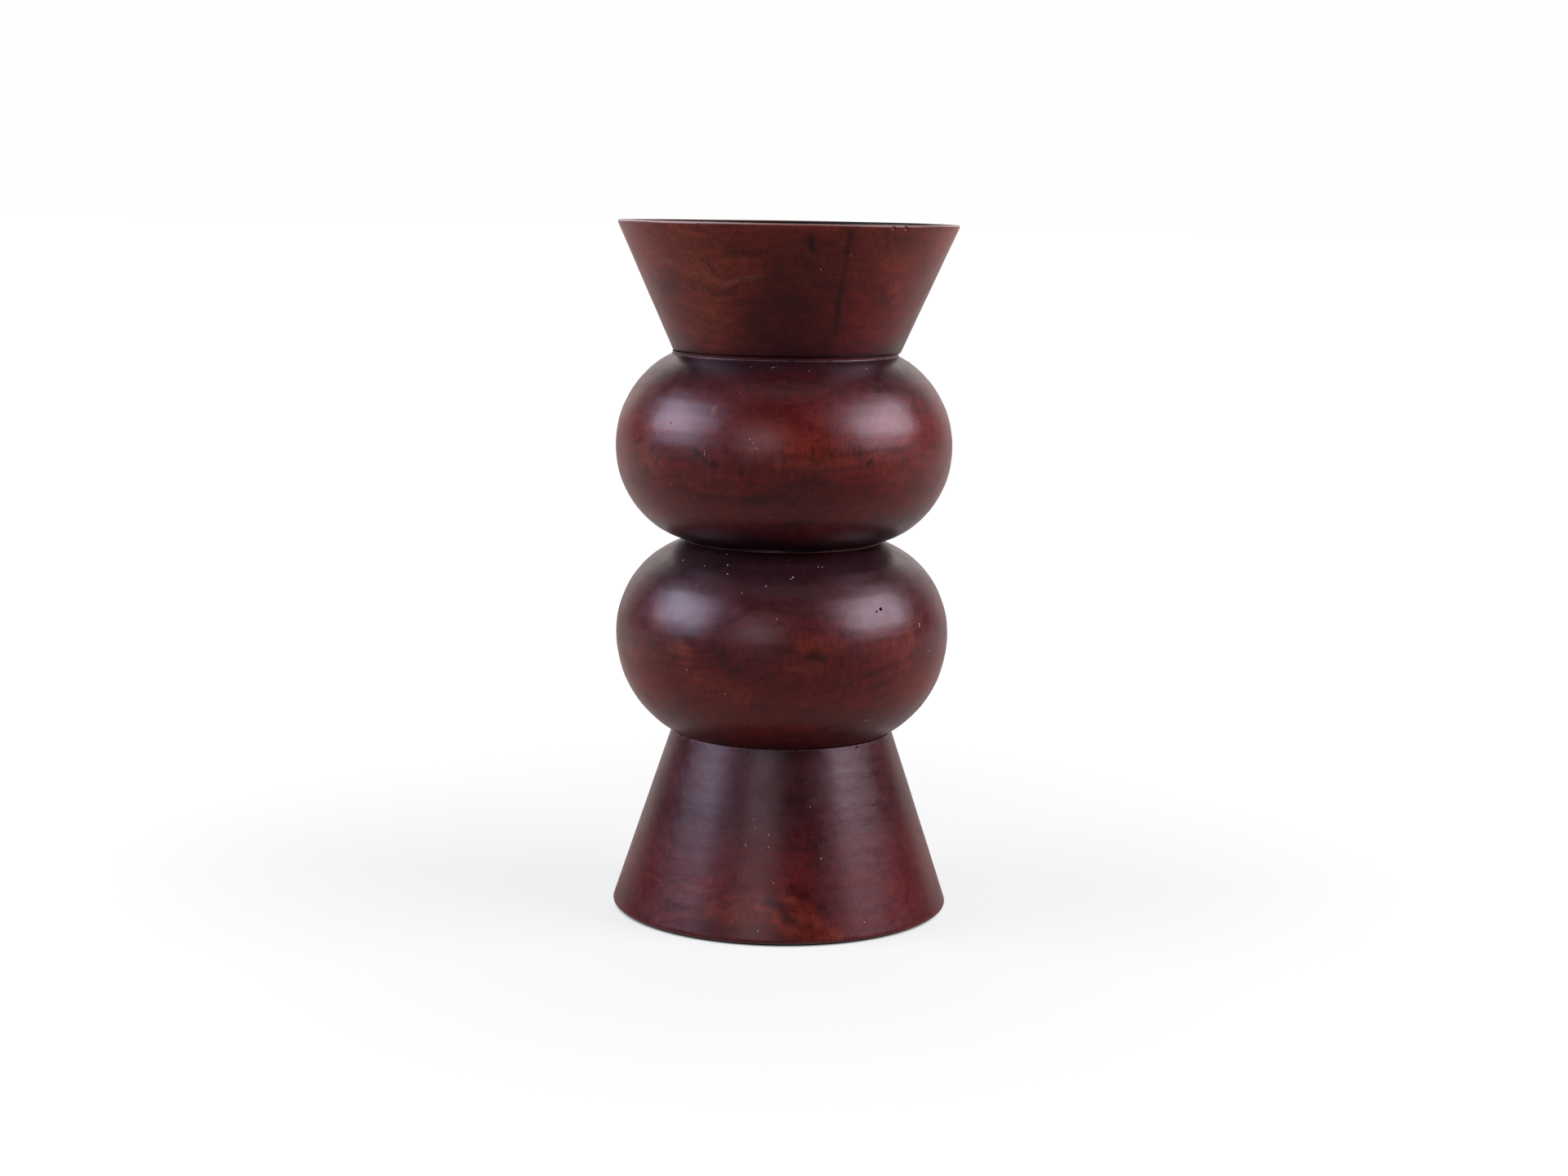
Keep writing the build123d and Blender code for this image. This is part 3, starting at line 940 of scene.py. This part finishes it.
def wood_material(section, shift, low, high, stops):
    """Dark red stain under satin lacquer, graded by height with painted shade next to the seams; shift gives
    each section its own figure.
    """
    material, nodes, coords = new_material("stained_wood_" + section)
    place = nodes.stretched(coords, (1, 1, 1), shift)
    swirl = nodes.pushed(place, scale=14, distance=0.045)
    figure = nodes.noise(nodes.stretched(swirl, (24, 24, 60)), detail=5, roughness=0.55)
    bands = nodes.noise(nodes.stretched(swirl, (9, 9, 330)), detail=3, roughness=0.55)
    fibre = nodes.noise(nodes.stretched(place, (80, 80, 1500)), detail=2)
    flecks = nodes.noise(nodes.stretched(place, (1150, 1150, 130)), detail=2)
    mottle = nodes.noise(nodes.stretched(swirl, (190, 190, 260)), detail=4, roughness=0.62)

    # Stain graded by height with painted shade next to the seams, warmer and darker along the strokes (a few
    # of them painted glow and shade), and uneven with the figure
    height = nodes.add("SeparateXYZ", {0: coords}).outputs["Z"]
    share = nodes.add("MapRange", {"Value": height, "From Min": low, "From Max": high}).outputs[0]
    uneven = nodes.product(nodes.math("SUBTRACT", figure, 0.5), 0.2)
    colour = nodes.stops(nodes.total(share, uneven), stops)
    warm = nodes.product(nodes.attribute("warm"), nodes.ramp(bands, 0.3, 0.6, 0.6, 1.0))
    colour = nodes.mix(warm, colour, WARM_STAIN_AND_GLOW)
    ragged = nodes.ramp(nodes.noise(place, scale=900, detail=2, roughness=0.6), 0.25, 0.6, 0.75, 1.0)
    stain_and_shade = nodes.product(nodes.attribute("dark"), ragged, 0.95)
    shade = nodes.product(
        nodes.ramp(figure, 0.35, 0.65, 0.82, 1.16),
        nodes.ramp(bands, 0.34, 0.6, 0.88, 1.06),
        nodes.ramp(mottle, 0.34, 0.66, 0.82, 1.16),
        nodes.ramp(fibre, 0.3, 0.7, 0.92, 1.06),
        nodes.ramp(flecks, 0.28, 0.5, 0.62, 1.07),
        nodes.math("SUBTRACT", 1.0, stain_and_shade),
    )
    grey = nodes.add("CombineColor", {0: shade, 1: shade, 2: shade}).outputs[0]
    colour = nodes.mix(1.0, colour, grey, "MULTIPLY")

    # Marks: scuffs and painted highlights on beads and edges, the worn lip with a painted highlight, holes,
    # and dust with tiny specks scattered by chance
    speckled = nodes.pushed(coords, scale=2600, distance=0.7 * MM)
    cells = nodes.add("TexVoronoi", {"Vector": speckled, "Scale": 420.0})
    chosen = nodes.ramp(cells.outputs["Color"], 0.86, 0.9)
    tiny = nodes.product(nodes.ramp(cells.outputs["Distance"], 0.1, 0.05), chosen, 0.4)
    dust = nodes.math("MAXIMUM", nodes.spots(speckled, specks_of(PALE_SPECKS, section)), tiny)
    holes = nodes.spots(speckled, specks_of(DARK_SPECKS, section))
    patches = nodes.ramp(nodes.noise(place, scale=700, roughness=0.6), 0.35, 0.6)
    scuffs_and_glints = nodes.product(nodes.attribute("pale"), patches)
    broken = nodes.ramp(nodes.noise(place, scale=260, roughness=0.6), 0.3, 0.5, 0.75, 1.0)
    worn_and_glint = nodes.product(nodes.attribute("worn_and_glint"), broken)
    colour = nodes.mix(nodes.product(scuffs_and_glints, 0.55), colour, SCUFF_AND_GLINT)
    colour = nodes.mix(worn_and_glint, colour, BARE_WOOD_AND_GLINT)
    colour = nodes.mix(nodes.product(holes, 0.92), colour, HOLE)
    colour = nodes.mix(nodes.product(dust, 0.85), colour, DUST)
    nodes.give("Base Color", colour)

    # Lacquer: its shine is cloudy and patchy, duller on marks, and the grain shows through
    cloudy = nodes.ramp(nodes.noise(place, scale=60, detail=4, roughness=0.6), 0.3, 0.7, 0.31, 0.39)
    patchy = nodes.product(nodes.math("SUBTRACT", mottle, 0.5), 0.15)
    dull = nodes.product(nodes.math("MAXIMUM", scuffs_and_glints, dust), 0.25)
    nodes.give("Roughness", nodes.total(cloudy, patchy, dull))
    nodes.give("Specular IOR Level", GLOSS[section])
    nodes.give("Specular Tint", LACQUER_TINT)
    grain = nodes.total(nodes.product(fibre, 0.35), nodes.product(flecks, 0.4), nodes.product(dust, 0.8))
    grain_bump = nodes.bump(grain, strength=0.35, distance=0.12 * MM)
    lacquer = nodes.total(nodes.noise(place, scale=160), nodes.product(bands, 0.35))
    nodes.give("Normal", nodes.bump(lacquer, strength=0.07, distance=MM, Normal=grain_bump))
    return material


def enamel_material():
    """Satin black enamel with a little orange peel, water marks and wear."""
    material, nodes, coords = new_material("black_enamel")
    cloudy = nodes.noise(coords, scale=70, detail=4, roughness=0.6)
    streaks = nodes.noise(nodes.stretched(coords, (30, 30, 9)), detail=5, roughness=0.65)
    colour = nodes.mix(nodes.ramp(cloudy, 0.35, 0.7), ENAMEL_DARK, ENAMEL_LIGHT)
    colour = nodes.mix(nodes.ramp(streaks, 0.55, 0.75, 0.0, 0.25), colour, WATER_MARK)
    nodes.give("Base Color", colour)
    nodes.give("Roughness", nodes.ramp(cloudy, 0.3, 0.7, 0.42, 0.55))
    nodes.give("Specular IOR Level", 0.25)
    peel = nodes.noise(coords, scale=900, detail=2)
    nodes.give("Normal", nodes.bump(peel, strength=0.2, distance=0.15 * MM))
    return material


def felt_material():
    """Pressed black felt: matted fibres with a soft sheen."""
    material, nodes, coords = new_material("black_felt")
    fibres = nodes.noise(coords, scale=2400, roughness=0.7)
    clumps = nodes.noise(coords, scale=300, roughness=0.6)
    colour = nodes.mix(nodes.ramp(fibres, 0.35, 0.68), FELT_DARK, FELT_LIGHT)
    colour = nodes.mix(nodes.ramp(clumps, 0.4, 0.7, 0.0, 0.4), colour, FELT_CLUMP)
    nodes.give("Base Color", colour)
    nodes.give("Roughness", 0.95)
    nodes.give("Sheen Weight", 0.3)
    nodes.give("Normal", nodes.bump(fibres, strength=0.8, distance=0.4 * MM))
    return material


def felt_pad():
    """The felt under the foot: a thin disc with a matted, uneven edge and underside."""
    top = felt_top - FELT_GAP
    edge = felt_radius - FELT_INSET
    half = run([(axis_gap, 0), (edge, 0), (edge, top), (axis_gap, top)], [FELT_ROUND, FELT_ROUND], FELT_STEP)
    draw = np.random.default_rng(FELT_SEED)
    angles = np.linspace(0, 2 * math.pi, FELT_SEGMENTS, endpoint=False)
    verts = []
    for radius, level in half:
        ragged = draw.normal(0, FELT_RAGGED, FELT_SEGMENTS) * (radius > edge - 2 * FELT_ROUND)
        lumps = np.abs(draw.normal(0, FELT_LUMPS, FELT_SEGMENTS)) * (level < FELT_ROUND)
        verts.extend(ring_points(radius + ragged, angles, level + lumps))
    felt = add_piece("felt", verts, ring_faces(len(half), FELT_SEGMENTS), sharp_angle=math.pi)
    felt.data.materials.append(felt_material())
    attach(felt, "vase")
    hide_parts("felt_pad")


def solder_ring(name, seam_level, down):
    """Bead of solder along the edge of a lap on the liner's tube, uneven as if laid by hand."""
    draw = np.random.default_rng(len(name))
    angles = np.linspace(0, 2 * math.pi, SOLDER_SEGMENTS, endpoint=False)
    lumps = sum(
        draw.uniform(*SOLDER_LUMPS) * np.sin(wave * angles + draw.uniform(*PHASES)) for wave in SOLDER_WAVES
    )
    lap = cap_radius - tube_radius
    profile = [(tube_radius, seam_level)]
    for angle in np.linspace(0, math.pi / 2, CORNER_POINTS):
        drop = down * SOLDER_REACH * (1 - math.cos(angle))
        profile.append((tube_radius + lap * (1 - math.sin(angle)), seam_level - drop))
    verts = []
    for radius, level in profile:
        fullness = 1 + lumps * (radius > tube_radius)
        radii = tube_radius + (radius - tube_radius) * np.minimum(fullness, 1)
        verts.extend(ring_points(radii, angles, seam_level + (level - seam_level) * fullness))
    return add_piece(name, verts, ring_faces(len(profile), SOLDER_SEGMENTS, looped=True))


def tube_seam():
    """Lapped seam down the liner's tube: a flat strip with bevelled edges that wanders a little."""
    profile = [(-across, out) for across, out in LAP_PROFILE] + LAP_PROFILE[::-1]
    verts = []
    for level in np.linspace(cap_top + LAP_END, collar_bottom - LAP_END, LAP_ROWS):
        wander = sum(depth * math.sin(level / length) for depth, length in LAP_WANDERS)
        for across, out in profile:
            angle = LAP_ANGLE + (across * LAP_HALF_WIDTH + wander) / tube_radius
            radius = tube_radius + out * LAP_PROUD
            verts.append((radius * math.sin(angle), -radius * math.cos(angle), level))
    return add_piece("tube_seam", verts, ring_faces(LAP_ROWS, len(profile)))


def softbox(name, azimuth, elevation, across, tall, radiance, colour):
    """Soft light of an angular width and height; azimuth 0 is the camera's side, positive to the right."""
    data = bpy.data.lights.new(name, "AREA")
    data.shape = "RECTANGLE"
    data.size = 2 * SOFTBOX_DISTANCE * math.tan(math.radians(across / 2))
    data.size_y = 2 * SOFTBOX_DISTANCE * math.tan(math.radians(tall / 2))
    data.energy = LIGHT_WATTS * data.size * data.size_y * radiance
    data.color = colour
    light = bpy.data.objects.new(name, data)
    turn = math.radians(azimuth)
    rise = math.radians(elevation)
    toward = Vector((math.sin(turn) * math.cos(rise), -math.cos(turn) * math.cos(rise), math.sin(rise)))
    light.location = Vector((0, 0, SOFTBOX_AIM)) + SOFTBOX_DISTANCE * toward
    light.rotation_euler = toward.to_track_quat("Z", "Y").to_euler()
    bpy.context.scene.collection.objects.link(light)


def make_world():
    """White for the camera; for light and reflections, a bright backdrop, dimmer ceiling and dark front."""
    world = bpy.data.worlds.new("studio")
    bpy.context.scene.world = world
    nodes = Nodes(world, "Background")
    toward = nodes.add("SeparateXYZ", {0: nodes.add("TexCoord", {}).outputs["Generated"]}).outputs
    upward = nodes.ramp(toward["Z"], 0.0, 0.5, 0.9, 1.6)
    backdrop = nodes.product(nodes.ramp(toward["Y"], 0.58, 0.84), upward)
    ceiling = nodes.ramp(toward["Z"], 0.86, 0.95, 0.0, 0.7)
    brightness = nodes.math("MAXIMUM", backdrop, ceiling)
    room = nodes.add("Background", {"Color": ROOM_COLOUR, "Strength": brightness})
    nodes.give("Color", BACKGROUND_COLOUR)
    nodes.give("Strength", BACKGROUND_STRENGTH)
    nodes.keep_for_camera(room, "World Output")


def make_floor():
    """Large pale disc under the vase: near white for the camera with painted shadow under and around the
    base, and lit from the back for reflections.
    """
    turns = np.linspace(0, 2 * math.pi, FLOOR_CORNERS, endpoint=False)
    ring = [(FLOOR_RADIUS * math.cos(turn), FLOOR_RADIUS * math.sin(turn), FLOOR_LEVEL) for turn in turns]
    floor = add_piece("floor", ring, [list(range(FLOOR_CORNERS))])
    material, nodes, coords = new_material("floor_paper")
    away = nodes.add("VectorMath", {0: coords}, operation="LENGTH").outputs["Value"]
    behind = nodes.add("SeparateXYZ", {0: coords}).outputs["Y"]
    # painted contact shadow: no glow under the base's edge
    clear_of_painted_shadow = nodes.ramp(away, base_radius - 4 * MM, base_radius - 0.5 * MM)
    nodes.give("Base Color", FLOOR_COLOUR)
    nodes.give("Roughness", 0.9)
    nodes.give("Specular IOR Level", 0)
    nodes.give("Emission Color", FLOOR_GLOW)
    # the glow is dimmer near the vase: painted soft shade around it
    nodes.give("Emission Strength", nodes.product(clear_of_painted_shadow, nodes.ramp(away, 0.1, 0.7, 0.74, 0.98)))
    brightness = nodes.ramp(behind, -0.45, 0.5, 0.24, 0.7)
    bounce = nodes.add("Emission", {"Color": ROOM_COLOUR, "Strength": brightness})
    nodes.keep_for_camera(bounce, "Material Output")
    floor.data.materials.append(material)


make_world()
make_floor()
softbox("softbox_left", azimuth=-79, elevation=32, across=38, tall=26, radiance=6.6, colour=COOL_LIGHT)
softbox("softbox_right", azimuth=75, elevation=34, across=40, tall=27, radiance=6.9, colour=ROSE_LIGHT)
softbox("card_front", azimuth=-17, elevation=24, across=24, tall=22, radiance=1.7, colour=WHITE_LIGHT)
bpy.context.scene.view_settings.view_transform = "Standard"

for section, (shift, low, high, stops) in WOODS.items():
    piece = turned_section(section)
    piece.data.materials.append(wood_material(section, shift, low, high, stops))
felt_pad()

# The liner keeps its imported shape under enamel, and gets its seam and solder
enamel = enamel_material()
for node in ("liner_collar", "liner_tube", "liner_bottom"):
    for slot in bpy.data.objects[node].material_slots:
        slot.material = enamel
seam = tube_seam()
upper_ring = solder_ring("solder_ring_upper", collar_bottom, down=1)
lower_ring = solder_ring("solder_ring_lower", cap_top, down=-1)
for piece in (seam, upper_ring, lower_ring):
    piece.data.materials.append(enamel)
    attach(piece, "liner")
